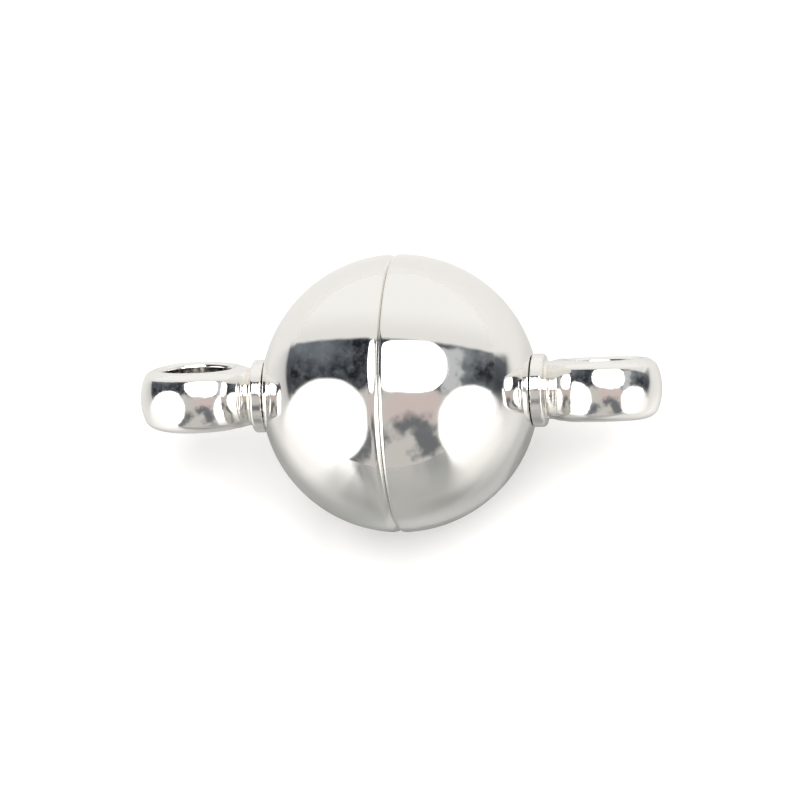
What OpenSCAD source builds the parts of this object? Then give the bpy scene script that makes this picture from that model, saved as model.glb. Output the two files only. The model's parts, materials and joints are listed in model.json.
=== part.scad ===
// Magnetic ball clasp for a bracelet or a necklace, closed and lying on its ball.
// X runs along the clasp from loop to loop, Z is up, and the ball touches the
// surface it lies on at the origin. Half A is on the -X side, half B on the +X side.

/* [Ball] */
// Diameter of the closed ball
ball_d = 8; // [7:0.1:12]
// Width of the flat rim round each magnet pocket
rim_w = 1.25; // [0.9:0.05:1.8]
// Metal behind each magnet, measured at the pole
pole_wall = 1.9; // [1.6:0.05:2.4]
// Opening left between the two rims of the closed clasp
seam_gap = 0.02; // [0.02:0.01:0.08]
// Rounding on the outer edge of each rim
rim_round = 0.2; // [0.1:0.05:0.3]

/* [Magnets] */
// How far the tall magnet stands out past its rim
magnet_step = 0.4; // [0.2:0.05:0.6]
// Bevel on the edges of both magnets
magnet_bevel = 0.12; // [0.05:0.01:0.25]
// Play all round each magnet in a pocket
magnet_play = 0.05; // [0.03:0.01:0.1]
// Thickness of the glue behind each magnet
glue_line = 0.03; // [0.02:0.01:0.08]

/* [Loops] */
// Outer diameter of the ring
ring_d = 3.35; // [2.9:0.05:5]
// Diameter of the hole through the ring
hole_d = 2.1; // [1.4:0.05:2.3]
// Width of the ring along its hole
ring_w = 1.75; // [1.5:0.05:2.4]
// Height of the crown on the ring's outer face
ring_crown = 0.25; // [0.1:0.05:0.4]
// Rounding between the ring's crown and its flat faces
ring_round = 0.25; // [0.1:0.05:0.3]
// Bevel at both ends of the hole
hole_bevel = 0.1; // [0.02:0.01:0.12]
// Distance from the ball's pole to the ring
ring_lift = 0.225; // [0.1:0.025:0.6]
// Turn of the ring on half A about the clasp's length
loop_a_turn = 35; // [0:1:180]
// Turn of the ring on half B about the clasp's length
loop_b_turn = 30; // [0:1:180]

/* [Collars and posts] */
// Diameter of the collar that seats on the ball
collar_d = 2.1; // [2.05:0.05:3]
// Height of the collar above the ball's pole
collar_h = 0.25; // [0.15:0.05:0.5]
// Rounding on the collar's upper edge
collar_round = 0.1; // [0.05:0.01:0.12]
// Diameter of the neck between the collar and the ring
neck_d = 1.65; // [1.4:0.05:1.7]
// Hollow rounding at the foot of the neck
neck_fillet = 0.1; // [0.05:0.01:0.12]
// Diameter of the post pressed into the half ball
post_d = 1.2; // [0.8:0.05:1.3]
// Play all round the post, and between the collar and the ball
post_play = 0.02; // [0.01:0.005:0.05]
// How far the post ends short of the pocket's floor
post_setback = 0.1; // [0.05:0.05:0.4]

/* [Finish] */
// Colour of the bright silver plating
plating_colour = "#DEDBD2";
// Colour of the nickel plating on the magnets
nickel_colour = "#B9B6AE";

/* [Hidden] */
$fn = 96;
ball_r = ball_d / 2;
pocket_r = ball_r - rim_w;
pocket_depth = ball_r - pole_wall;
magnet_r = pocket_r - magnet_play;
magnet_back = pocket_depth - glue_line;
ring_r = ring_d / 2;
ring_z = ball_r + ring_lift + ring_r;
// Radius of the crown's arc, from its height over the full width of the ring
crown_r = (pow(ring_w / 2, 2) + pow(ring_crown, 2)) / (2 * ring_crown);
collar_r = collar_d / 2;
collar_top = ball_r + collar_h;
neck_r = neck_d / 2;
// Spare length that carries each cutting shape clear of the face it cuts
clear = 0.5;

// Each piece is drawn standing on the seam: the ball's centre is at the origin
// and +Z points out through the pole. These two lay it down on its side.
module on_half_a() {
    translate([0, 0, ball_r]) rotate([0, -90, 0]) children();
}

module on_half_b() {
    translate([0, 0, ball_r]) rotate([0, 90, 0]) children();
}

// Half ball: its rim stands half the seam's opening off the middle.
module half_shell() {
    color(plating_colour)
    difference() {
        rotate_extrude() half_shell_profile();
        translate([0, 0, pocket_depth - clear])
            cylinder(r = post_d / 2 + post_play, h = pole_wall + 2 * clear);
    }
}

module half_shell_profile() {
    rim_z = seam_gap / 2;
    // Centre of the rounding, which touches the ball and the flat rim
    round_z = rim_z + rim_round;
    round_x = sqrt(pow(ball_r - rim_round, 2) - pow(round_z, 2));
    // Height at which the ball takes over from the rounding
    meet_z = round_z * ball_r / (ball_r - rim_round);
    difference() {
        union() {
            intersection() {
                circle(r = ball_r);
                translate([0, meet_z]) square(ball_d);
            }
            translate([round_x, round_z]) circle(r = rim_round);
            translate([0, rim_z]) square([round_x, meet_z - rim_z]);
        }
        square([pocket_r, pocket_depth]);
    }
}

// Disc magnet between two heights above the seam, negative past the rim.
module magnet(face_z) {
    r = magnet_r;
    b = magnet_bevel;
    color(nickel_colour)
    rotate_extrude()
        polygon([
            [0, face_z],
            [r - b, face_z],
            [r, face_z + b],
            [r, magnet_back - b],
            [r - b, magnet_back],
            [0, magnet_back]
        ]);
}

// Loop: the foot stands on the pole, and the hole goes through ring and neck.
module loop(turn) {
    color(plating_colour)
    rotate([0, 0, turn])
    difference() {
        union() {
            across_ring() rotate_extrude() ring_profile();
            rotate_extrude() foot_profile();
        }
        across_ring() ring_hole();
    }
}

// Moves a shape drawn round Z to the ring's centre, with its axis along Y.
module across_ring() {
    translate([0, 0, ring_z]) rotate([90, 0, 0]) children();
}

// Right half of the ring's section: a crowned outer face, rounded into flat sides.
module ring_profile() {
    half_w = ring_w / 2;
    crown_x = ring_r - crown_r;
    // Centre of the rounding, which touches the crown and the flat side
    round_y = half_w - ring_round;
    round_x = crown_x + sqrt(pow(crown_r - ring_round, 2) - pow(round_y, 2));
    // Height at which the rounding takes over from the crown
    meet_y = round_y * crown_r / (crown_r - ring_round);
    intersection() {
        union() {
            intersection() {
                translate([crown_x, 0]) circle(r = crown_r);
                translate([0, -meet_y]) square([ring_r, 2 * meet_y]);
            }
            for (y = [-round_y, round_y])
                translate([round_x, y]) circle(r = ring_round);
            translate([0, -half_w]) square([round_x, ring_w]);
        }
        translate([0, -half_w]) square([ring_r, ring_w]);
    }
}

// The straight hole, opened by a bevel at each end.
module ring_hole() {
    hole_r = hole_d / 2;
    half_w = ring_w / 2;
    cylinder(r = hole_r, h = ring_w + 2 * clear, center = true);
    for (side = [0, 180])
        rotate([side, 0, 0])
        translate([0, 0, half_w - hole_bevel])
            cylinder(r1 = hole_r, r2 = hole_r + hole_bevel + clear, h = hole_bevel + clear);
}

// Right half of the section through collar, neck and post.
module foot_profile() {
    difference() {
        union() {
            square([collar_r - collar_round, collar_top]);
            square([collar_r, collar_top - collar_round]);
            translate([collar_r - collar_round, collar_top - collar_round])
                intersection() {
                    circle(r = collar_round);
                    square(collar_round);
                }
            square([neck_r, ring_z]);
            difference() {
                translate([0, collar_top - collar_round])
                    square([neck_r + neck_fillet, collar_round + neck_fillet]);
                translate([neck_r + neck_fillet, collar_top + neck_fillet])
                    circle(r = neck_fillet);
            }
        }
        circle(r = ball_r + post_play);
    }
    post_end = pocket_depth + post_setback;
    translate([0, post_end]) square([post_d / 2, collar_top - post_end]);
}

module half_shell_a() on_half_a() half_shell();
module half_shell_b() on_half_b() half_shell();

// The tall magnet stands out of half A, and the short one is sunk to meet it.
module magnet_a() on_half_a() magnet(-magnet_step);
module magnet_b() on_half_b() magnet(magnet_step + seam_gap);

module loop_a() on_half_a() loop(-loop_a_turn);
module loop_b() on_half_b() loop(loop_b_turn);

half_shell_a();
half_shell_b();
magnet_a();
magnet_b();
loop_a();
loop_b();
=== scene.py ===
# %% [markdown]
# # A magnetic ball clasp
#
# The clasp closes a bracelet or a necklace. Two half balls of plated brass hold a disc magnet
# each, and a cast ring on the pole of each half takes the cord or the jump ring. It is 15 mm
# long, so a scratch or a rounded edge of a twentieth of a millimetre is what makes it look real.
#
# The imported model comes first: it says where every piece is, and nothing here moves it.

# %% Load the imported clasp
import json
import math

import bmesh
import bpy
import numpy as np
from mathutils import Matrix, Vector


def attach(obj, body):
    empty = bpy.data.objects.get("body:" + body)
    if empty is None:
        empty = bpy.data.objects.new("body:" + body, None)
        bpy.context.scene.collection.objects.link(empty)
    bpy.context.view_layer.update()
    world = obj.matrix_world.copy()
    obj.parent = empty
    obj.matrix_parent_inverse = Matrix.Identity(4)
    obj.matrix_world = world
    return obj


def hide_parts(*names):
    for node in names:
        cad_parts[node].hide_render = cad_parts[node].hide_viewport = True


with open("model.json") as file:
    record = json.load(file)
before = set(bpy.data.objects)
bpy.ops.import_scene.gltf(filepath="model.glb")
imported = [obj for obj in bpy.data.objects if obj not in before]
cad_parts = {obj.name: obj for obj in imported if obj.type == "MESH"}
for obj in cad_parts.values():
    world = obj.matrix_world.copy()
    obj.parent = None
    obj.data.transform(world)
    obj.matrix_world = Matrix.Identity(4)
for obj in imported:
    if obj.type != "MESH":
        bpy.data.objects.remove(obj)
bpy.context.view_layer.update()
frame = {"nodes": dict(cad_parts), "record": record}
scene = bpy.context.scene

# %% [markdown]
# ## Where the two halves are
#
# The two ring holes are mounts in the record, so they give the ball's centre, the clasp's length
# and the way each ring is turned. Everything below is drawn in millimetres in the frame of one
# half, with the ball's centre at the origin, Z out through the pole and Y along the ring's hole,
# and `place` then lays it where that half lies.

# %% Read the frame of each half
MM = 0.001
mounts = {m["name"]: m for m in frame["record"]["mounts"]}
hole_a, hole_b = (Vector(mounts[n]["pos_m"]) / MM for n in ("ring_hole_a", "ring_hole_b"))
centre = (hole_a + hole_b) / 2
along = (hole_b - hole_a).normalized()
place = {}
for half, out in (("a", -along), ("b", along)):
    hole = Vector(mounts["ring_hole_" + half]["axis"]).normalized()
    axes = Matrix((hole.cross(out), hole, out)).transposed().to_4x4()
    place[half] = Matrix.Translation(centre * MM) @ axes @ Matrix.Scale(MM, 4)


def node_points(node, half):
    """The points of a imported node, in millimetres in the frame of its half."""
    mesh = frame["nodes"][node].data
    points = np.empty(len(mesh.vertices) * 3)
    mesh.vertices.foreach_get("co", points)
    back = np.array(place[half].inverted())
    return points.reshape(-1, 3) @ back[:3, :3].T + back[:3, 3]


loop_points = node_points("loop_b", "b")
shell_points = node_points("half_shell_b", "b")
magnet_points = {h: node_points("magnet_" + h, h) for h in "ab"}
BALL_R = float(np.linalg.norm(shell_points, axis=1).max())
RIM_HEIGHT = float(shell_points[:, 2].min())
RING_Z = (hole_b - hole_a).length / 2
RING_R = float(loop_points[:, 2].max()) - RING_Z
RING_HALF_W = float(np.abs(loop_points[loop_points[:, 2] > RING_Z, 1]).max())
HOLE_R = mounts["ring_hole_b"]["dims"]["r_mm"]
MAGNET_R = float(np.hypot(*magnet_points["b"][:, :2].T).max())
MAGNET_BACK = float(magnet_points["b"][:, 2].max())
print(f"ball radius {BALL_R:.3f}, rim {RIM_HEIGHT:.3f}, ring at {RING_Z:.3f}, ring radius {RING_R:.3f}")
print(f"ring half width {RING_HALF_W:.3f}, magnet radius {MAGNET_R:.3f}, back {MAGNET_BACK:.3f}")

# %% [markdown]
# ## Two helpers
#
# Colours are written as sRGB hex values, as a colour picker shows them, but shaders work in
# linear light, so one function turns them. The other adds a node to any tree: values fill its
# inputs in order, names with a capital fill inputs by name, and other names are its settings.

# %% Helpers for colours and nodes
def hex_colour(code):
    channels = (int(code[i : i + 2], 16) / 255 for i in (1, 3, 5))
    linear = [c / 12.92 if c <= 0.04045 else ((c + 0.055) / 1.055) ** 2.4 for c in channels]
    return (*linear, 1.0)


def add_node(tree, kind, *values, **named):
    node = tree.nodes.new(kind)
    for name, value in named.items():
        if name[0].islower():
            setattr(node, name, value)
    free = [s for s in node.inputs if s.enabled]
    fills = list(zip(free, values))
    for name, value in named.items():
        if name[0].isupper():
            fills.append((next(s for s in free if s.name == name.replace("_", " ")), value))
    for socket, value in fills:
        if isinstance(value, bpy.types.Node):
            value = next(s for s in value.outputs if s.enabled)
        if isinstance(value, bpy.types.NodeSocket):
            tree.links.new(value, socket)
        elif value is not None:
            socket.default_value = value
    return node


# %% [markdown]
# ## Turned and plated metal
#
# The half balls are turned from brass, polished on a wheel and plated with bright silver. What
# the eye gets is a mirror with a faint warm cast, a little orange peel from the polishing, and
# hairline scratches from handling. Silver stays nearly white, so its colour is close to white
# and its roughness is close to none. The patterns read Object coordinates through a Mapping
# node, which turns metres into millimetres in the frame of half B. A noise keeps mostly between
# 0.3 and 0.7, so a Map Range spreads that part of it over the roughness that it should give.

# %% Start a metal
TURN_OF_HALF_B = place["b"].to_euler()
NOISE_SPREAD = (0.35, 0.7)
WIDE_SPREAD = (0.3, 0.7)


def start_metal(name, colour, roughness):
    """A material with a metal shader, and its coordinates in millimetres in the frame of half B."""
    material = bpy.data.materials.new(name)
    material.use_nodes = True
    tree = material.node_tree
    tree.nodes.clear()
    where = add_node(tree, "ShaderNodeTexCoord").outputs["Object"]
    spot = add_node(
        tree,
        "ShaderNodeMapping",
        where,
        centre * MM,
        TURN_OF_HALF_B,
        (MM, MM, MM),
        vector_type="TEXTURE",
    )
    metal = add_node(
        tree,
        "ShaderNodeBsdfPrincipled",
        Base_Color=hex_colour(colour),
        Metallic=1.0,
        Roughness=roughness,
    )
    add_node(tree, "ShaderNodeOutputMaterial", metal)
    return material, tree, spot, metal


print("metals are drawn round", tuple(round(c, 2) for c in centre), "mm")

# %% Bright silver plating on the polished half balls
BALL_SILVER = "#F2F1EE"
PEEL_SIZE = 0.9
PEEL_DEPTH = 0.004
HAIRLINE_SIZE = 0.05
HAIRLINE_TURN = (0.5, 0.9, 0.2)
HAIRLINE_SHAPE = (1.0, 0.06, 1.0)
HAIRLINE_EDGE = (0.66, 0.8)
HAIRLINE_DEPTH = 0.00015
HAIRLINE_DULLING = 0.06
PATCHES_PER_MM = 0.6
HAZE = (0.035, 0.075)
ball_plating, tree, spot, metal = start_metal("bright_silver_plating", BALL_SILVER, 0.05)
peel = add_node(tree, "ShaderNodeTexNoise", spot, Scale=1 / PEEL_SIZE, Detail=2.0, Roughness=0.5)
stretch = add_node(tree, "ShaderNodeMapping", spot, None, HAIRLINE_TURN, HAIRLINE_SHAPE)
hairlines = add_node(tree, "ShaderNodeTexNoise", stretch, Scale=1 / HAIRLINE_SIZE, Detail=1.0)
scratched = add_node(tree, "ShaderNodeMapRange", hairlines, *HAIRLINE_EDGE, 0.0, 1.0)
patches = add_node(tree, "ShaderNodeTexNoise", spot, Scale=PATCHES_PER_MM, Detail=3.0)
haze = add_node(tree, "ShaderNodeMapRange", patches, *NOISE_SPREAD, *HAZE)
dulled = add_node(tree, "ShaderNodeMath", scratched, HAIRLINE_DULLING, haze, operation="MULTIPLY_ADD")
soft = add_node(tree, "ShaderNodeBump", 1.0, PEEL_DEPTH * MM, Height=peel)
cut = add_node(
    tree, "ShaderNodeBump", 1.0, HAIRLINE_DEPTH * MM, Height=scratched, Normal=soft, invert=True
)
tree.links.new(dulled.outputs[0], metal.inputs["Roughness"])
tree.links.new(cut.outputs[0], metal.inputs["Normal"])
print("plated half balls:", ball_plating.name)

# %% [markdown]
# ## The rim and the pocket
#
# The flat rim and the magnet's pocket are cut on the lathe and plated without polishing, so they
# are satin, with fine rings left by the tool. The rings are noise read along one number, the
# distance from the clasp's axis. Real tool marks are about 0.02 mm apart, and here they are
# 0.05 mm apart, which is what the render can show.

# %% Turned faces under the plating
TOOL_MARK = 0.05
TOOL_MARK_DEPTH = 0.006
SATIN = (0.12, 0.26)
turned_face, tree, spot, metal = start_metal("turned_face_plating", "#E6E2DA", 0.22)
flat = add_node(tree, "ShaderNodeVectorMath", spot, (1.0, 1.0, 0.0), operation="MULTIPLY")
reach = add_node(tree, "ShaderNodeVectorMath", flat, operation="LENGTH").outputs["Value"]
rings = add_node(
    tree, "ShaderNodeTexNoise", noise_dimensions="1D", W=reach, Scale=1 / TOOL_MARK, Detail=2.0
)
polish = add_node(tree, "ShaderNodeMapRange", rings, *WIDE_SPREAD, *SATIN)
marks = add_node(tree, "ShaderNodeBump", 1.0, TOOL_MARK_DEPTH * MM, Height=rings)
tree.links.new(polish.outputs[0], metal.inputs["Roughness"])
tree.links.new(marks.outputs[0], metal.inputs["Normal"])
print("turned faces:", turned_face.name)

# %% [markdown]
# ## Cast rings
#
# The rings are cast brass, tumbled with steel shot and then plated in the same bath. Tumbling
# leaves the skin slightly wavy and its shine a little softer than the ball's. Silver turns
# yellowish first in the corners that no cloth reaches, such as the foot of the neck, so the
# colour follows a `recess` value that the ring's own shape will carry.

# %% Bright silver plating on the cast rings
WAVES_PER_MM = 2.2
WAVE_DEPTH = 0.006
PITS_PER_MM = 11.0
PIT_DEPTH = 0.0012
TUMBLED_SHINE = (0.055, 0.12)
CORNER_YELLOW = "#D9C89E"
YELLOW_STARTS = (0.05, 0.6)
MOST_YELLOW = 0.7
cast_plating, tree, spot, metal = start_metal("silver_plated_casting", BALL_SILVER, 0.08)
waves = add_node(tree, "ShaderNodeTexNoise", spot, Scale=WAVES_PER_MM, Detail=2.0, Roughness=0.45)
pits = add_node(tree, "ShaderNodeTexNoise", spot, Scale=PITS_PER_MM, Detail=3.0, Roughness=0.6)
gloss = add_node(tree, "ShaderNodeMapRange", pits, *NOISE_SPREAD, *TUMBLED_SHINE)
recess = add_node(tree, "ShaderNodeAttribute", attribute_name="recess")
in_hollow = recess.outputs["Fac"]
tarnish = add_node(tree, "ShaderNodeMapRange", in_hollow, *YELLOW_STARTS, 0.0, MOST_YELLOW)
tint = add_node(
    tree,
    "ShaderNodeMix",
    tarnish,
    hex_colour(BALL_SILVER),
    hex_colour(CORNER_YELLOW),
    data_type="RGBA",
)
wavy = add_node(tree, "ShaderNodeBump", 1.0, WAVE_DEPTH * MM, Height=waves)
pitted = add_node(tree, "ShaderNodeBump", 1.0, PIT_DEPTH * MM, Height=pits, Normal=wavy)
tree.links.new(tint.outputs[2], metal.inputs["Base Color"])
tree.links.new(gloss.outputs[0], metal.inputs["Roughness"])
tree.links.new(pitted.outputs[0], metal.inputs["Normal"])
print("cast rings:", cast_plating.name)

# %% [markdown]
# ## Nickel on the magnets
#
# A sintered magnet is ground flat and then plated with nickel, which is greyer and warmer than
# silver. The grinding leaves straight fine lines under the plating, so the noise is stretched
# along one direction.

# %% Nickel plating
GRINDING_TURN = (0.0, 0.0, 0.6)
GRINDING_SHAPE = (1.0, 0.05, 1.0)
GRINDING_PER_MM = 14.0
GRINDING_DEPTH = 0.002
GROUND_SHINE = (0.14, 0.28)
nickel_plating, tree, spot, metal = start_metal("nickel_plating", "#BDB8AC", 0.2)
grain = add_node(tree, "ShaderNodeMapping", spot, None, GRINDING_TURN, GRINDING_SHAPE)
ground = add_node(tree, "ShaderNodeTexNoise", grain, Scale=GRINDING_PER_MM, Detail=3.0)
sheen = add_node(tree, "ShaderNodeMapRange", ground, *WIDE_SPREAD, *GROUND_SHINE)
lines = add_node(tree, "ShaderNodeBump", 1.0, GRINDING_DEPTH * MM, Height=ground)
tree.links.new(sheen.outputs[0], metal.inputs["Roughness"])
tree.links.new(lines.outputs[0], metal.inputs["Normal"])
print("magnets:", nickel_plating.name)

# %% [markdown]
# ## The half balls
#
# A half ball is a lathe part: one outline turned round an axis. It could be a sphere cut with
# booleans, but then its rim would have ragged rings of triangles, and a mirror finish shows
# them. Here Geometry Nodes draw the outline as one line of points, round its corners and sweep
# it round a circle, so every ring of faces is even. The outline starts at the rim's outer
# corner, climbs the ball's arc to the bore at the pole, goes down the bore to the pocket and
# comes back along the pocket's wall.

# %% Sizes of the half ball, and the inputs of its tree
MAGNET_PLAY = 0.05
GLUE_LINE = 0.03
POCKET_R = MAGNET_R + MAGNET_PLAY
POCKET_DEPTH = MAGNET_BACK + GLUE_LINE
BORE_R = 0.62
EDGE = 0.02
FLOOR_CORNER = 0.1
MOUTH_CORNER = 0.04
ARC_POINTS = 84
STEPS_AROUND = 288
FILLET_STEPS = 8
WHEEL = 1.0
HALF_BALL_INPUTS = {
    "Ball radius": "NodeSocketFloat",
    "Rim height": "NodeSocketFloat",
    "Rim roll": "NodeSocketFloat",
    "Pocket radius": "NodeSocketFloat",
    "Pocket depth": "NodeSocketFloat",
    "Bore radius": "NodeSocketFloat",
    "Arc points": "NodeSocketInt",
    "Steps around": "NodeSocketInt",
    "Centre": "NodeSocketVector",
    "Turn": "NodeSocketVector",
    "Plating": "NodeSocketMaterial",
    "Turned face": "NodeSocketMaterial",
}
print(f"pocket radius {POCKET_R:.2f}, pocket depth {POCKET_DEPTH:.2f}, bore radius {BORE_R}")

# %% [markdown]
# ### The rolled edge
#
# Polishing rolls the edge between the ball and its flat rim. On half A the edge is rounder than
# on half B, and it shows as a bright band beside the seam, so each half has a roll of its own.
# The roll leaves the ball's arc a little above the rim and meets the flat rim at 45 degrees. One
# corner stands where these two directions cross, and a fillet of the roll's radius rounds it.

# %% Where the rolled edge starts and ends
RIM_ROLL = {"a": 0.33, "b": 0.12}
SLANT = math.sqrt(0.5)


def rolled_edge(tree, ball, rim, roll):
    """The angle where the roll touches the arc, how far out it meets the rim, and its corner."""
    rolled = add_node(tree, "ShaderNodeMath", roll, EDGE, operation="ADD")
    roll_up = add_node(tree, "ShaderNodeMath", rolled, SLANT, rim, operation="MULTIPLY_ADD")
    roll_out = add_node(tree, "ShaderNodeMath", ball, roll, operation="SUBTRACT")
    touch_share = add_node(tree, "ShaderNodeMath", roll_up, roll_out, operation="DIVIDE")
    touch = add_node(tree, "ShaderNodeMath", touch_share, operation="ARCSINE")
    touch_cosine = add_node(tree, "ShaderNodeMath", touch, operation="COSINE")
    middle_out = add_node(tree, "ShaderNodeMath", roll_out, touch_cosine, operation="MULTIPLY")
    shorter = add_node(tree, "ShaderNodeMath", roll, EDGE, operation="SUBTRACT")
    edge_out = add_node(tree, "ShaderNodeMath", shorter, SLANT, middle_out, operation="MULTIPLY_ADD")
    turn = add_node(tree, "ShaderNodeMath", touch, math.pi / 4, operation="ADD")
    half_turn = add_node(tree, "ShaderNodeMath", turn, 0.5, operation="MULTIPLY")
    tangent = add_node(tree, "ShaderNodeMath", half_turn, operation="TANGENT")
    line = add_node(tree, "ShaderNodeMath", tangent, roll, EDGE, operation="MULTIPLY_ADD")
    corner_out = add_node(tree, "ShaderNodeMath", line, SLANT, edge_out, operation="MULTIPLY_ADD")
    corner_up = add_node(tree, "ShaderNodeMath", line, SLANT, rim, operation="MULTIPLY_ADD")
    return touch, edge_out, (corner_out, corner_up)


# %% The ball's arc, from just above the roll to the bore
PAST_THE_ROLL = 0.012


def ball_arc(tree, index, arc_points, ball, bore, touch):
    """How far out and how high each point of the arc is."""
    step = add_node(tree, "ShaderNodeMath", index, 2.0, operation="SUBTRACT")
    last = add_node(tree, "ShaderNodeMath", arc_points, 1.0, operation="SUBTRACT")
    share = add_node(tree, "ShaderNodeMath", step, last, operation="DIVIDE")
    first_angle = add_node(tree, "ShaderNodeMath", touch, PAST_THE_ROLL, operation="ADD")
    bore_share = add_node(tree, "ShaderNodeMath", bore, ball, operation="DIVIDE")
    last_angle = add_node(tree, "ShaderNodeMath", bore_share, operation="ARCCOSINE")
    angle = add_node(
        tree, "ShaderNodeMapRange", share, 0.0, 1.0, first_angle, last_angle, clamp=False
    )
    cosine = add_node(tree, "ShaderNodeMath", angle, operation="COSINE")
    sine = add_node(tree, "ShaderNodeMath", angle, operation="SINE")
    arc_out = add_node(tree, "ShaderNodeMath", cosine, ball, operation="MULTIPLY")
    arc_up = add_node(tree, "ShaderNodeMath", sine, ball, operation="MULTIPLY")
    return arc_out, arc_up


# %% [markdown]
# ### One line of points
#
# The outline has six stretches: the rim's edge, the roll's corner, the arc, the bore's end, the
# pocket's floor and the pocket's mouth. All but the arc are a single point, so a point's stretch
# follows from its number, and two Index Switches give it its place and the radius of its fillet.

# %% Places and fillets along the outline
def outline_switches(tree, index, arc_points, corners, fillets):
    """Switches that hold each point's place on the swept profile and its fillet's radius."""
    arc_end = add_node(tree, "ShaderNodeMath", arc_points, 1.0, operation="ADD")
    past = add_node(tree, "ShaderNodeMath", index, arc_end, operation="SUBTRACT")
    past = add_node(tree, "ShaderNodeMath", past, 0.0, operation="MAXIMUM")
    begun = add_node(tree, "ShaderNodeMath", index, 2.0, operation="MINIMUM")
    stretch = add_node(tree, "ShaderNodeMath", past, begun, operation="ADD")
    outline = add_node(tree, "GeometryNodeIndexSwitch", data_type="VECTOR")
    rounding = add_node(tree, "GeometryNodeIndexSwitch", data_type="FLOAT")
    tree.links.new(stretch.outputs[0], outline.inputs["Index"])
    tree.links.new(stretch.outputs[0], rounding.inputs["Index"])
    for number, (away, up) in enumerate(corners):
        if number > 1:
            outline.index_switch_items.new()
            rounding.index_switch_items.new()
        inner = add_node(tree, "ShaderNodeMath", away, WHEEL, operation="SUBTRACT")
        down = add_node(tree, "ShaderNodeMath", up, -1.0, operation="MULTIPLY")
        point = add_node(tree, "ShaderNodeCombineXYZ", inner, down, 0.0)
        tree.links.new(point.outputs[0], outline.inputs[str(number)])
    for number, radius in fillets.items():
        if isinstance(radius, float):
            rounding.inputs[str(number)].default_value = radius
        else:
            tree.links.new(radius, rounding.inputs[str(number)])
    return outline, rounding


# %% Sweep the outline, mark what was turned, and plate it
UNDER_THE_SKIN = 0.005


def sweep_and_plate(tree, given, outline, rounding, edge_out):
    """The closed outline swept round a circle, with the lathe's faces in a material of their own."""
    count = add_node(tree, "ShaderNodeMath", given["Arc points"], 5.0, operation="ADD")
    line = add_node(tree, "GeometryNodeMeshLine", Count=count)
    bent = add_node(tree, "GeometryNodeSetPosition", line, Position=outline)
    curve = add_node(tree, "GeometryNodeMeshToCurve", bent)
    ring = add_node(tree, "GeometryNodeSetSplineCyclic", curve, Cyclic=True)
    rounded = add_node(
        tree,
        "GeometryNodeFilletCurve",
        ring,
        Radius=rounding,
        Limit_Radius=True,
        Count=FILLET_STEPS,
        mode="POLY",
    )
    wheel = add_node(tree, "GeometryNodeCurvePrimitiveCircle", given["Steps around"], Radius=WHEEL)
    swept = add_node(tree, "GeometryNodeCurveToMesh", wheel, rounded)
    position = add_node(tree, "GeometryNodeInputPosition")
    distance = add_node(tree, "ShaderNodeVectorMath", position, operation="LENGTH").outputs["Value"]
    skin = add_node(tree, "ShaderNodeMath", edge_out, UNDER_THE_SKIN, operation="SUBTRACT")
    turned = add_node(tree, "ShaderNodeMath", distance, skin, operation="LESS_THAN")
    marked = add_node(
        tree, "GeometryNodeStoreNamedAttribute", swept, Name="turned", Value=turned, domain="FACE"
    )
    smooth = add_node(tree, "GeometryNodeSetShadeSmooth", marked)
    laid = add_node(
        tree,
        "GeometryNodeTransform",
        smooth,
        Translation=given["Centre"],
        Rotation=given["Turn"],
        Scale=(MM, MM, MM),
    )
    real = add_node(tree, "GeometryNodeRealizeInstances", laid)
    plated = add_node(tree, "GeometryNodeSetMaterial", real, Material=given["Plating"])
    was_turned = add_node(tree, "GeometryNodeInputNamedAttribute", "turned", data_type="FLOAT")
    return add_node(
        tree, "GeometryNodeSetMaterial", plated, Selection=was_turned, Material=given["Turned face"]
    )


# %% A tree that turns the half ball
def half_ball_tree():
    """Profile points (distance from the axis, height) swept round a circle of radius WHEEL."""
    tree = bpy.data.node_groups.new("half_ball", "GeometryNodeTree")
    for name, kind in HALF_BALL_INPUTS.items():
        tree.interface.new_socket(name, in_out="INPUT", socket_type=kind)
    tree.interface.new_socket("Geometry", in_out="OUTPUT", socket_type="NodeSocketGeometry")
    given = add_node(tree, "NodeGroupInput").outputs
    ball, rim, roll = given["Ball radius"], given["Rim height"], given["Rim roll"]
    pocket, depth, bore = given["Pocket radius"], given["Pocket depth"], given["Bore radius"]
    index = add_node(tree, "GeometryNodeInputIndex")
    touch, edge_out, corner = rolled_edge(tree, ball, rim, roll)
    arc = ball_arc(tree, index, given["Arc points"], ball, bore, touch)
    corners = ((edge_out, rim), corner, arc, (bore, depth), (pocket, depth), (pocket, rim))
    fillets = {0: EDGE, 1: roll, 4: FLOOR_CORNER, 5: MOUTH_CORNER}
    outline, rounding = outline_switches(tree, index, given["Arc points"], corners, fillets)
    done = sweep_and_plate(tree, given, outline, rounding, edge_out)
    add_node(tree, "NodeGroupOutput", done)
    return tree


# %% Bake a node tree into a plain mesh
def link_piece(name, mesh):
    piece = bpy.data.objects.new(name, mesh)
    scene.collection.objects.link(piece)
    return piece


def face_outwards(mesh):
    """Turns the faces round if the volume they enclose comes out negative."""
    shape = bmesh.new()
    shape.from_mesh(mesh)
    if shape.calc_volume(signed=True) < 0:
        bmesh.ops.reverse_faces(shape, faces=shape.faces)
        shape.to_mesh(mesh)
    shape.free()


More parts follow.
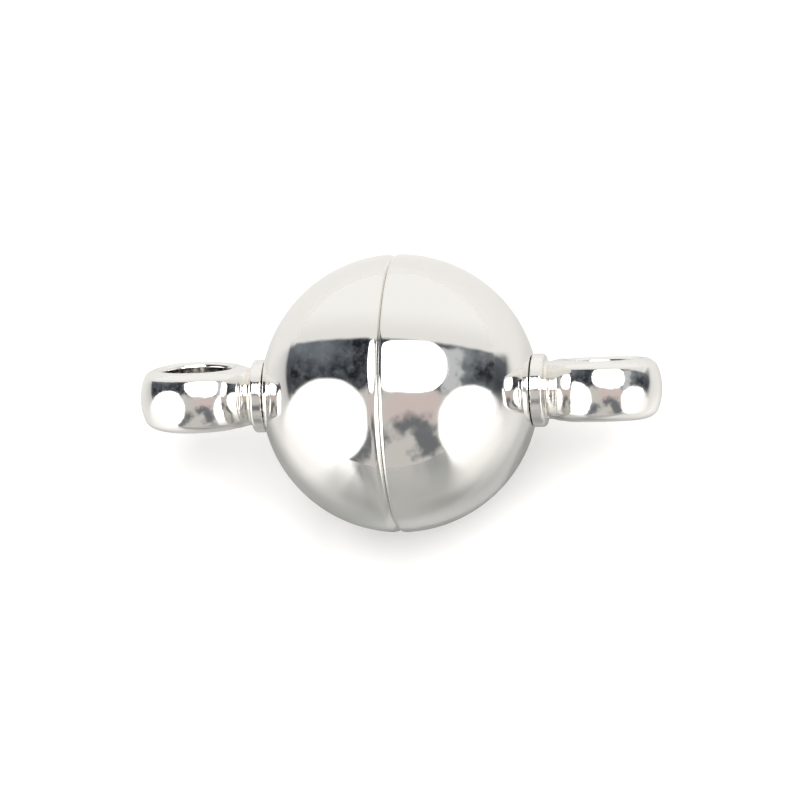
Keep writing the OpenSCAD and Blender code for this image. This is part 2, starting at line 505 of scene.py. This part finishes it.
def bake_tree(name, tree, values):
    """A new object with the tree's result as its own mesh, and no modifier."""
    piece = link_piece(name, bpy.data.meshes.new(name))
    modifier = piece.modifiers.new("shape", "NODES")
    modifier.node_group = tree
    for socket in tree.interface.items_tree:
        if socket.in_out == "INPUT":
            modifier[socket.identifier] = values[socket.name]
    graph = bpy.context.evaluated_depsgraph_get()
    mesh = bpy.data.meshes.new_from_object(piece.evaluated_get(graph), depsgraph=graph)
    piece.modifiers.clear()
    piece.data = mesh
    mesh.name = name
    face_outwards(mesh)
    return piece


# %% Make both half balls
turning = half_ball_tree()
for half in "ab":
    piece = bake_tree(
        "half_ball_" + half,
        turning,
        {
            "Ball radius": BALL_R,
            "Rim height": RIM_HEIGHT,
            "Rim roll": RIM_ROLL[half],
            "Pocket radius": POCKET_R,
            "Pocket depth": POCKET_DEPTH,
            "Bore radius": BORE_R,
            "Arc points": ARC_POINTS,
            "Steps around": STEPS_AROUND,
            "Centre": centre * MM,
            "Turn": Vector(place[half].to_euler()),
            "Plating": ball_plating,
            "Turned face": turned_face,
        },
    )
    print(piece.name, len(piece.data.polygons), "faces", [m.name for m in piece.data.materials])

# %% [markdown]
# ## The disc magnets
#
# Each magnet is a plain disc with tumbled edges. The tall one stands out of half A and the
# short one is sunk in half B, which is how the halves find their place when they snap shut.
# A short outline spun round the axis is enough for a disc.

# %% Spin the magnets
DISC_ROUND = 0.12
ROUND_POINTS = 7
DISC_STEPS = 144


def spin_disc(name, half, radius, low, high):
    """A disc between two heights, with both edges rounded, laid in its half."""
    steps = np.linspace(0, math.pi / 2, ROUND_POINTS)
    inner, bottom, top = radius - DISC_ROUND, low + DISC_ROUND, high - DISC_ROUND
    outline = [(0.0, low)]
    outline += [(inner + DISC_ROUND * math.sin(a), bottom - DISC_ROUND * math.cos(a)) for a in steps]
    outline += [(inner + DISC_ROUND * math.cos(a), top + DISC_ROUND * math.sin(a)) for a in steps]
    outline += [(0.0, high)]
    shape = bmesh.new()
    points = [shape.verts.new((away, 0.0, up)) for away, up in outline]
    edges = [shape.edges.new(pair) for pair in zip(points, points[1:])]
    bmesh.ops.spin(
        shape,
        geom=points + edges,
        cent=(0, 0, 0),
        axis=(0, 0, 1),
        angle=2 * math.pi,
        steps=DISC_STEPS,
        use_merge=True,
    )
    bmesh.ops.remove_doubles(shape, verts=shape.verts, dist=1e-5)
    bmesh.ops.recalc_face_normals(shape, faces=shape.faces)
    for face in shape.faces:
        face.smooth = True
    mesh = bpy.data.meshes.new(name)
    shape.to_mesh(mesh)
    shape.free()
    mesh.transform(place[half])
    mesh.materials.append(nickel_plating)
    return link_piece(name, mesh)


for half in "ab":
    face_height = float(magnet_points[half][:, 2].min())
    magnet = spin_disc("disc_magnet_" + half, half, MAGNET_R, face_height, MAGNET_BACK)
    print(magnet.name, "from", round(face_height, 3), "to", round(MAGNET_BACK, 3))

# %% [markdown]
# ## The cast rings
#
# A casting has no sharp line anywhere: ring, neck and collar run into each other, and the hole's
# edges are worn round by tumbling. Bevelled booleans break where three rounded forms meet, so
# the shape is written as a distance: a function that says how far any point is from the skin.
# Distances can be joined and cut with a rounding of their own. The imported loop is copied,
# remeshed into an even net, and the net is then pulled onto the skin.

# %% The skin of a ring as a distance
CROWN = 0.25
CROWN_R = (RING_HALF_W**2 + CROWN**2) / (2 * CROWN)
CROWN_X = RING_R - CROWN_R
SIDE_ROUND = 0.25
HOLE_ROUND = 0.16
NECK_R = 0.825
NECK_BLEND = 0.16
COLLAR_R = 1.05
COLLAR_HEIGHT = 0.25
COLLAR_TOP = BALL_R + COLLAR_HEIGHT
COLLAR_ROUND = 0.1
COLLAR_BLEND = 0.12
FOOT_UNDER_POLE = 0.5
SEAT_PLAY = 0.02
SEAT_EDGE = 0.03
POST_R = 0.6
POST_SETBACK = 0.1
POST_END = POCKET_DEPTH + POST_SETBACK


def join(a, b, r):
    """Union of two distances with a hollow of radius r where they meet."""
    return np.maximum(r, np.minimum(a, b)) - np.hypot(np.maximum(r - a, 0), np.maximum(r - b, 0))


def meet(a, b, r):
    """Intersection of two distances with an edge of radius r."""
    return np.minimum(-r, np.maximum(a, b)) + np.hypot(np.maximum(r + a, 0), np.maximum(r + b, 0))


# %% Waves of the cast skin
WAVE_COUNT = 7
WAVE_HEIGHT = 0.0022
WAVE_LENGTHS = (1.1, 2.6)
WAVES_FADE_IN = 0.4


def casting_waves(p, seed):
    """A gentle unevenness of the cast skin, a few thousandths of a millimetre."""
    rng = np.random.default_rng(seed)
    total = np.zeros(len(p))
    for _ in range(WAVE_COUNT):
        direction = rng.normal(size=3)
        direction /= np.linalg.norm(direction)
        length, phase = rng.uniform(*WAVE_LENGTHS), rng.uniform(0, 2 * math.pi)
        total += np.sin(p @ direction * 2 * math.pi / length + phase)
    return WAVE_HEIGHT * total


# %% Barrel, neck, collar and post in one skin
def ring_skin(p, seed):
    """Distance from each point to the skin of the ring, its neck, its collar and its post."""
    x, y, z = p.T
    away = np.hypot(x, z - RING_Z)
    barrel = meet(np.hypot(away - CROWN_X, y) - CROWN_R, np.abs(y) - RING_HALF_W, SIDE_ROUND)
    shank = np.hypot(x, y)
    under_pole = BALL_R - FOOT_UNDER_POLE - z
    neck = np.maximum(np.maximum(shank - NECK_R, z - RING_Z), under_pole)
    body = join(barrel, neck, NECK_BLEND)
    body = meet(body, HOLE_R - away, HOLE_ROUND)
    collar = np.maximum(meet(shank - COLLAR_R, z - COLLAR_TOP, COLLAR_ROUND), under_pole)
    waves = casting_waves(p, seed) * np.clip((z - COLLAR_TOP) / WAVES_FADE_IN, 0, 1)
    body = join(body, collar, COLLAR_BLEND) - waves
    seat = BALL_R + SEAT_PLAY - np.linalg.norm(p, axis=1)
    body = meet(body, seat, SEAT_EDGE)
    post = np.maximum(np.maximum(shank - POST_R, POST_END - z), z - COLLAR_TOP)
    return np.minimum(body, post)


def skin_direction(p, seed):
    """Outward direction of the skin near each point."""
    h = 1e-3
    rise = [ring_skin(p + h * axis, seed) - ring_skin(p - h * axis, seed) for axis in np.eye(3)]
    rise = np.stack(rise, axis=1)
    return rise / np.maximum(np.linalg.norm(rise, axis=1, keepdims=True), 1e-9)


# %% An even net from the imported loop
NET = 0.035


def net_from_node(node, half):
    """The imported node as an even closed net, in the frame of its half."""
    source = frame["nodes"][node].data.copy()
    source.transform(place[half].inverted())
    shape = bmesh.new()
    shape.from_mesh(source)
    bmesh.ops.remove_doubles(shape, verts=shape.verts, dist=1e-5)
    shape.to_mesh(source)
    shape.free()
    carrier = link_piece("net", source)
    remesh = carrier.modifiers.new("net", "REMESH")
    remesh.mode = "VOXEL"
    remesh.voxel_size = NET
    graph = bpy.context.evaluated_depsgraph_get()
    mesh = bpy.data.meshes.new_from_object(carrier.evaluated_get(graph), depsgraph=graph)
    bpy.data.objects.remove(carrier)
    return mesh


# %% Pull the net onto the skin
PULLS = 8
EVENING_PULLS = 6
EVENING = 0.5


def pull_to_skin(p, ends, seed):
    """Moves the points onto the skin, and the first times also evens them out along it."""
    degree = np.bincount(ends.ravel(), minlength=len(p))[:, None]
    for turn in range(PULLS):
        p -= ring_skin(p, seed)[:, None] * skin_direction(p, seed)
        if turn < EVENING_PULLS:
            total = np.zeros_like(p)
            np.add.at(total, ends[:, 0], p[ends[:, 1]])
            np.add.at(total, ends[:, 1], p[ends[:, 0]])
            pull = total / degree - p
            normal = skin_direction(p, seed)
            p += EVENING * (pull - (pull * normal).sum(1, keepdims=True) * normal)
    return p


# %% [markdown]
# ### Where the casting is hollow
#
# A point just outside the skin is nearer to it in a hollow than over a flat place. How much
# nearer is the `recess` value, and the plating turns yellowish there.

# %% Cast both rings
HOLLOW_DEPTH = 0.12


def cast_ring(name, half, seed):
    """The loop of one half, with its hollows marked and its true normals kept."""
    mesh = net_from_node("loop_" + half, half)
    p = np.empty(len(mesh.vertices) * 3)
    mesh.vertices.foreach_get("co", p)
    edges = np.empty(len(mesh.edges) * 2, dtype=np.int64)
    mesh.edges.foreach_get("vertices", edges)
    p = pull_to_skin(p.reshape(-1, 3), edges.reshape(-1, 2), seed)
    normal = skin_direction(p, seed)
    hollow = np.clip(1 - ring_skin(p + HOLLOW_DEPTH * normal, seed) / HOLLOW_DEPTH, 0, 1)
    off = float(np.abs(ring_skin(p, seed)).max())
    mesh.vertices.foreach_set("co", p.ravel())
    mesh.attributes.new("recess", "FLOAT", "POINT").data.foreach_set("value", hollow)
    mesh.polygons.foreach_set("use_smooth", np.ones(len(mesh.polygons), dtype=bool))
    mesh.update()
    mesh.normals_split_custom_set_from_vertices(normal)
    mesh.transform(place[half])
    mesh.materials.clear()
    mesh.materials.append(cast_plating)
    mesh.name = name
    print(name, len(mesh.polygons), "faces, furthest point off the skin", round(off, 4), "mm")
    return link_piece(name, mesh)


for half, seed in (("a", 11), ("b", 23)):
    cast_ring("ring_loop_" + half, half, seed)

# %% [markdown]
# ## Hand the pieces to the frame
#
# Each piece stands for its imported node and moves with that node's body. The tall magnet turns as
# a body of its own between the halves.

# %% Say what each piece stands for
PIECES = {
    "half_ball_a": ("half_a", "half_shell_a", "ball_plating"),
    "half_ball_b": ("half_b", "half_shell_b", "ball_plating"),
    "disc_magnet_a": ("tall_magnet", "magnet_a", "magnet_nickel"),
    "disc_magnet_b": ("half_b", "magnet_b", "magnet_nickel"),
    "ring_loop_a": ("half_a", "loop_a", "loop_plating"),
    "ring_loop_b": ("half_b", "loop_b", "loop_plating"),
}
for name, (body, node, slot) in PIECES.items():
    piece = bpy.data.objects[name]
    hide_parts(node)
    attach(piece, body)
    print(name, "rides on", body)

# %% [markdown]
# ## The camera
#
# The photograph looks down on the clasp from about 62 degrees. The clasp's right end leans about
# nine degrees towards the camera and rises about one degree in the picture. The azimuth follows
# from the lean, and the roll from the rise. A long lens keeps the far ring as large as the near
# one, as in a product photograph.

# %% Stand the camera where the photographer stood
ELEVATION = math.radians(62)
LEAN = math.radians(9.0)
RISE = math.radians(1.2)
LENS = 250.0
PICTURE_WIDTH = 23.0
AIM_BELOW = 0.2
SENSOR = 36.0
side = (math.sin(LEAN) - along.z * math.sin(ELEVATION)) / (along.x * math.cos(ELEVATION))
azimuth = math.asin(side)
out_flat = math.cos(ELEVATION)
toward = Vector((math.sin(azimuth) * out_flat, -math.cos(azimuth) * out_flat, math.sin(ELEVATION)))
level = Vector((math.cos(azimuth), math.sin(azimuth), 0.0))
above = toward.cross(level)
roll = math.atan2(along.dot(above), along.dot(level)) - RISE
right = math.cos(roll) * level + math.sin(roll) * above
up = toward.cross(right)
camera = bpy.data.objects.new("camera", bpy.data.cameras.new("camera"))
camera.data.lens = LENS
camera.data.sensor_width = SENSOR
camera.data.clip_start, camera.data.clip_end = 0.01, 10.0
reach_back = PICTURE_WIDTH * LENS / SENSOR
aim = centre - AIM_BELOW * up
turn = Matrix((right, up, toward)).transposed().to_4x4()
camera.matrix_world = Matrix.Translation((aim + toward * reach_back) * MM) @ turn
scene.collection.objects.link(camera)
scene.camera = camera
print(f"camera azimuth {math.degrees(azimuth):.1f}, roll {math.degrees(roll):.1f} degrees")
print(f"camera {reach_back:.0f} mm from the clasp")

# %% [markdown]
# ## Light
#
# A mirror shows its surroundings, so the studio is what gives the ball its look: a round lamp
# overhead, a soft box on each side, a white sweep behind and a darker room in front. All of it
# is painted on the world, and stays where it is when the camera moves. To say where things
# stand, directions are turned into places on a mirror ball: (0, 0) shows the camera above, and
# the others are in ball radii, across and up.

# %% Mirror ball places
world = bpy.data.worlds.new("studio")
scene.world = world
world.use_nodes = True
tree = world.node_tree
tree.nodes.clear()


def mirror_ball(tree, way):
    """Where a direction shows on a mirror ball, across and up from its middle, in ball radii."""
    parts = [
        add_node(tree, "ShaderNodeVectorMath", way, axis, operation="DOT_PRODUCT").outputs["Value"]
        for axis in (right, up, toward)
    ]
    half_way = add_node(tree, "ShaderNodeMath", parts[2], 1.0, operation="ADD")
    twice = add_node(tree, "ShaderNodeMath", half_way, 2.0, operation="MULTIPLY")
    stretched = add_node(tree, "ShaderNodeMath", twice, operation="SQRT")
    return [add_node(tree, "ShaderNodeMath", part, stretched, operation="DIVIDE") for part in parts[:2]]


ball_x, ball_y = mirror_ball(tree, add_node(tree, "ShaderNodeTexCoord").outputs["Generated"])
on_ball = add_node(tree, "ShaderNodeCombineXYZ", ball_x, ball_y, 0.0)
print("the studio faces", tuple(round(c, 2) for c in toward))

# %% Soft-edged shapes on the world
SOFT = {"interpolation_type": "SMOOTHSTEP"}
RAGGED = 0.24
ripple = add_node(tree, "ShaderNodeTexNoise", on_ball, Scale=9.0, Detail=2.0, Roughness=0.6)
shift = add_node(
    tree, "ShaderNodeVectorMath", ripple.outputs["Color"], (0.5, 0.5, 0.5), operation="SUBTRACT"
)
uneven = add_node(
    tree, "ShaderNodeVectorMath", shift, (RAGGED, RAGGED, 0.0), on_ball, operation="MULTIPLY_ADD"
)


def panel(middle, half_size, corner, edge, where=on_ball):
    """1 inside a rounded rectangle, 0 outside, with an edge this soft."""
    off = add_node(tree, "ShaderNodeVectorMath", where, (*middle, 0.0), operation="SUBTRACT")
    off = add_node(tree, "ShaderNodeVectorMath", off, operation="ABSOLUTE")
    inner = (half_size[0] - corner, half_size[1] - corner, 0.0)
    off = add_node(tree, "ShaderNodeVectorMath", off, inner, operation="SUBTRACT")
    off = add_node(tree, "ShaderNodeVectorMath", off, (0.0, 0.0, 0.0), operation="MAXIMUM")
    far = add_node(tree, "ShaderNodeVectorMath", off, operation="LENGTH").outputs["Value"]
    start, stop = corner + edge, corner - edge
    return add_node(tree, "ShaderNodeMapRange", far, start, stop, 0.0, 1.0, **SOFT)


def lay_over(under, mask, colour, strength=1.0):
    """A colour laid over what is there so far, as strong as the mask."""
    tone = tuple(strength * c for c in hex_colour(colour)[:3]) + (1.0,)
    laid = add_node(tree, "ShaderNodeMix", mask, under, tone, data_type="RGBA", clamp_factor=True)
    return laid.outputs[2]


# %% [markdown]
# ### The room
#
# The dark middle of the ball is the unlit room behind the camera, with greyer patches where its
# walls catch some light. Below it lies a pale bench with the camera's stand on it. Each thing
# has a middle, half its size, the radius of its corners, the softness of its edge and a tone. A
# noise shifts the edges, since a photographer's room is no set of clean rectangles.

# %% Walls and bench
ROOM_TONE = "#202329"
WALLS = {
    "right wall": ((0.62, 0.24), (0.26, 0.2), 0.1, 0.1, "#83888D"),
    "door in it": ((0.6, 0.16), (0.11, 0.1), 0.06, 0.06, "#2B2E33"),
    "left wall": ((-0.62, 0.34), (0.2, 0.12), 0.1, 0.1, "#6A7078"),
}
CLOUD_TONE = "#8A8F95"
CLOUD_EDGE = (0.42, 0.72)
THICKEST_CLOUD = 0.6
THINGS = {
    "curtain": ((0.36, 0.17), (0.07, 0.15), 0.03, 0.03, "#C6C8CA"),
    "bench": ((0.08, -0.3), (0.4, 0.33), 0.1, 0.06, "#CDC9C5"),
    "pink card": ((0.1, -0.09), (0.2, 0.1), 0.06, 0.05, "#D2C3BF"),
    "tripod foot": ((-0.31, -0.42), (0.1, 0.08), 0.06, 0.05, "#727477"),
    "tripod leg": ((-0.18, -0.34), (0.08, 0.06), 0.06, 0.05, "#727477"),
    "lens": ((0.07, -0.22), (0.15, 0.06), 0.06, 0.05, "#727477"),
    "camera": ((0.2, -0.34), (0.09, 0.12), 0.06, 0.05, "#727477"),
}
mottle = add_node(tree, "ShaderNodeTexNoise", on_ball, Scale=12.0, Detail=4.0, Roughness=0.75)
cloudy = add_node(tree, "ShaderNodeMapRange", mottle, *CLOUD_EDGE, 0.0, THICKEST_CLOUD)
room = hex_colour(ROOM_TONE)
for *form, colour in WALLS.values():
    room = lay_over(room, panel(*form, uneven), colour)
room = lay_over(room, cloudy, CLOUD_TONE)
for *form, colour in THINGS.values():
    room = lay_over(room, panel(*form, uneven), colour)
print("painted in the room:", ", ".join((*WALLS, *THINGS)))

# %% The lamp and the two soft boxes
BOX_STRENGTH = 2.2
LAMP_STRENGTH = 4.0
left_box = panel((-0.52, -0.205), (0.28, 0.3), 0.26, 0.02)
right_box = panel((0.51, -0.22), (0.23, 0.27), 0.23, 0.02)
round_lamp = panel((0.06, 0.19), (0.27, 0.18), 0.17, 0.006)
room = lay_over(room, left_box, "#FFFEFD", BOX_STRENGTH)
room = lay_over(room, right_box, "#FFFEFD", BOX_STRENGTH)
room = lay_over(room, round_lamp, "#FFFFFF", LAMP_STRENGTH)
print("lights: 1 lamp and 2 soft boxes")

# %% The white sweep behind, and what the camera sees past the floor
BOW = 0.13
LEAN_OF_SWEEP = 0.06
SWEEP_EDGE = (0.37, 0.394)
SWEEP_FADE = (0.41, 0.62)


def sweep_height(tree, across, rise):
    """The sweep's lower edge is a shallow bow that leans to the right, and this straightens it."""
    bow = add_node(tree, "ShaderNodeMath", across, 2.0, operation="POWER")
    leaning = add_node(tree, "ShaderNodeMath", across, LEAN_OF_SWEEP, rise, operation="MULTIPLY_ADD")
    return add_node(tree, "ShaderNodeMath", bow, BOW, leaning, operation="MULTIPLY_ADD")


line = sweep_height(tree, ball_x, ball_y)
sweep = add_node(tree, "ShaderNodeMapRange", line, *SWEEP_EDGE, 0.0, 1.0, **SOFT)
room = lay_over(room, sweep, "#EEECE9")
higher = add_node(tree, "ShaderNodeMapRange", line, *SWEEP_FADE, 0.0, 1.0, **SOFT)
room = lay_over(room, higher, "#FFFEFC")
seen = add_node(tree, "ShaderNodeLightPath").outputs["Is Camera Ray"]
shown = lay_over(room, seen, "#FCFCFB")
glow = add_node(tree, "ShaderNodeBackground", shown, 1.0)
add_node(tree, "ShaderNodeOutputWorld", glow)
print("world:", world.name, len(tree.nodes), "nodes")

# %% [markdown]
# ## The floor
#
# The clasp lies on pale coated paper, which the camera sees as one pale tone, with a painted glow
# that only the camera sees and that makes the shadows on it paler. In the underside of the ball
# the paper shows painted light and shade instead: painted shade makes it greyer under the ball,
# with a painted shadow where the stand's leg would shade it; painted light makes it paler in
# front of each soft box and behind; and far out a painted dark room shows at both sides. So the
# paper takes these painted tones wherever it isn't seen by the camera directly. They are drawn
# in millimetres on the floor: `beside` counts to the right and `away` counts away from where the
# camera stands, and both are fixed to the floor.

# %% Where a spot on the floor is
paper = bpy.data.materials.new("coated_paper_floor")
paper.use_nodes = True
tree = paper.node_tree
surface = tree.nodes["Principled BSDF"]
spot = add_node(tree, "ShaderNodeTexCoord").outputs["Object"]
back = Vector((up.x, up.y, 0.0)).normalized()
beside, away = (
    add_node(tree, "ShaderNodeVectorMath", spot, axis / MM, operation="DOT_PRODUCT").outputs["Value"]
    for axis in (back.cross(Vector((0, 0, 1))), back)
)
reach = add_node(tree, "ShaderNodeVectorMath", spot, operation="LENGTH").outputs["Value"]
print("away on the floor is", tuple(round(c, 2) for c in back))

# %% Painted light on the paper in front of the soft boxes and behind the ball
LEFT_OF_BALL = 1.0
WEDGE_SLOPE = 0.8
WEDGE_EDGE = (-2.0, 3.0)
OFF_BALL = (5 * MM, 12 * MM)
BEHIND_BALL = (-6.0, 8.0)
# Painted light: the paper is paler where the soft boxes would light it and behind the ball, and close
# to the ball it keeps the grey of the painted shade.
off_middle = add_node(tree, "ShaderNodeMath", beside, LEFT_OF_BALL, operation="ADD")
sideways = add_node(tree, "ShaderNodeMath", off_middle, operation="ABSOLUTE")
in_front = add_node(tree, "ShaderNodeMath", away, 0.0, operation="MINIMUM")
wedge = add_node(tree, "ShaderNodeMath", in_front, WEDGE_SLOPE, sideways, operation="MULTIPLY_ADD")
under_box = add_node(tree, "ShaderNodeMapRange", wedge, *WEDGE_EDGE, 0.0, 1.0, **SOFT)
off_ball = add_node(tree, "ShaderNodeMapRange", reach, *OFF_BALL, 0.0, 1.0, **SOFT)
lit = add_node(tree, "ShaderNodeMath", under_box, off_ball, operation="MULTIPLY")
behind = add_node(tree, "ShaderNodeMapRange", away, *BEHIND_BALL, 0.0, 1.0, **SOFT)
painted_light = add_node(tree, "ShaderNodeMath", lit, behind, operation="MAXIMUM")
print("paler paper starts", round(OFF_BALL[0] / MM), "mm from where the ball stands")

# %% [markdown]
# ### A painted dark room on the paper
#
# The dark room is painted onto the paper far out at both sides of the sweep, as a painted
# reflection of the unlit room, or a bright wedge would stand between them in the ball. Its border
# there is the sweep's own lower edge, so it is found in the same way: from the ball's centre
# towards the spot, as a place on the mirror ball. The painted dark starts a little nearer to the
# ball on the right than on the left.

# %% The dark room painted on the paper at both sides
FAR = (25 * MM, 45 * MM)
FAR_LEAN = 0.45
BACK_HALF = (-10.0, 5.0)
SIDE_EDGE = (0.34, 0.4)
leaning = add_node(tree, "ShaderNodeMath", beside, FAR_LEAN * MM, reach, operation="MULTIPLY_ADD")
far = add_node(tree, "ShaderNodeMapRange", leaning, *FAR, 0.0, 1.0, **SOFT)
at_back = add_node(tree, "ShaderNodeMapRange", away, *BACK_HALF, 0.0, 1.0, **SOFT)
past = add_node(tree, "ShaderNodeMath", far, at_back, operation="MULTIPLY")
from_ball = add_node(tree, "ShaderNodeVectorMath", spot, centre * MM, operation="SUBTRACT")
from_ball = add_node(tree, "ShaderNodeVectorMath", from_ball, operation="NORMALIZE")
line = sweep_height(tree, *mirror_ball(tree, from_ball))
at_side = add_node(tree, "ShaderNodeMapRange", line, *SIDE_EDGE, 1.0, 0.0, **SOFT)
past = add_node(tree, "ShaderNodeMath", past, at_side, operation="MULTIPLY")
print("the room starts", round(FAR[0] / MM), "mm out")

# %% Shade at the right of the ball and under the stand's leg
RIGHT_EDGE = (0.0, 5.0)
CLOSE_BY = (7 * MM, 10 * MM)
LEG_SLANT = -0.44
LEG_EDGE = (0.8, 2.8)
LEG_SHADE = 0.9
LEG_STARTS = (-5.0, -9.0)
# Painted shade: a darker tone close to the ball on its right, and a painted shadow of the stand's leg
# in front of it.
at_right = add_node(tree, "ShaderNodeMapRange", beside, *RIGHT_EDGE, 0.0, 1.0, **SOFT)
close_by = add_node(tree, "ShaderNodeMapRange", reach, *CLOSE_BY, 1.0, 0.0, **SOFT)
shade = add_node(tree, "ShaderNodeMath", at_right, close_by, operation="MULTIPLY")
off_leg = add_node(tree, "ShaderNodeMath", away, LEG_SLANT, beside, operation="MULTIPLY_ADD")
off_leg = add_node(tree, "ShaderNodeMath", off_leg, operation="ABSOLUTE")
beside_leg = add_node(tree, "ShaderNodeMapRange", off_leg, *LEG_EDGE, LEG_SHADE, 0.0, **SOFT)
leg_starts = add_node(tree, "ShaderNodeMapRange", away, *LEG_STARTS, 0.0, 1.0, **SOFT)
leg = add_node(tree, "ShaderNodeMath", beside_leg, leg_starts, operation="MULTIPLY")
shade = add_node(tree, "ShaderNodeMath", shade, leg, operation="MAXIMUM")
print("shades: beside the ball and under the leg")

# %% Lay the painted shade and light on the paper
PAPER_ROUGHNESS = 0.22
PAPER_IOR = 1.6
PAINTED_GLOW = 0.14
# The grey base is painted shade, the darker tone is painted shade and the leg's painted shadow, the
# paler tone is painted light, and the dark tone is a painted dark room.
tone = lay_over(hex_colour("#9C9D9B"), shade, "#7E7F7D")
tone = lay_over(tone, painted_light, "#D0CFCD")
tone = lay_over(tone, past, "#34373C")
# The camera alone sees the paper pale, and a painted glow for camera rays makes the shadows on it
# paler.
seen = add_node(tree, "ShaderNodeLightPath").outputs["Is Camera Ray"]
tone = lay_over(tone, seen, "#F4F4F3")
painted_glow = add_node(tree, "ShaderNodeMath", seen, PAINTED_GLOW, operation="MULTIPLY")
tree.links.new(tone, surface.inputs["Base Color"])
tree.links.new(painted_glow.outputs[0], surface.inputs["Emission Strength"])
surface.inputs["Roughness"].default_value = PAPER_ROUGHNESS
surface.inputs["IOR"].default_value = PAPER_IOR
surface.inputs["Emission Color"].default_value = (1.0, 1.0, 1.0, 1.0)
print("floor:", paper.name)

# %% Lay the floor
FLOOR_HALF_SIZE = 3.0
shape = bmesh.new()
bmesh.ops.create_grid(shape, x_segments=1, y_segments=1, size=FLOOR_HALF_SIZE)
floor_mesh = bpy.data.meshes.new("floor")
shape.to_mesh(floor_mesh)
shape.free()
floor_mesh.materials.append(paper)
floor = link_piece("floor", floor_mesh)
scene.view_settings.view_transform = "Standard"
print("floor", 2 * FLOOR_HALF_SIZE, "m wide")
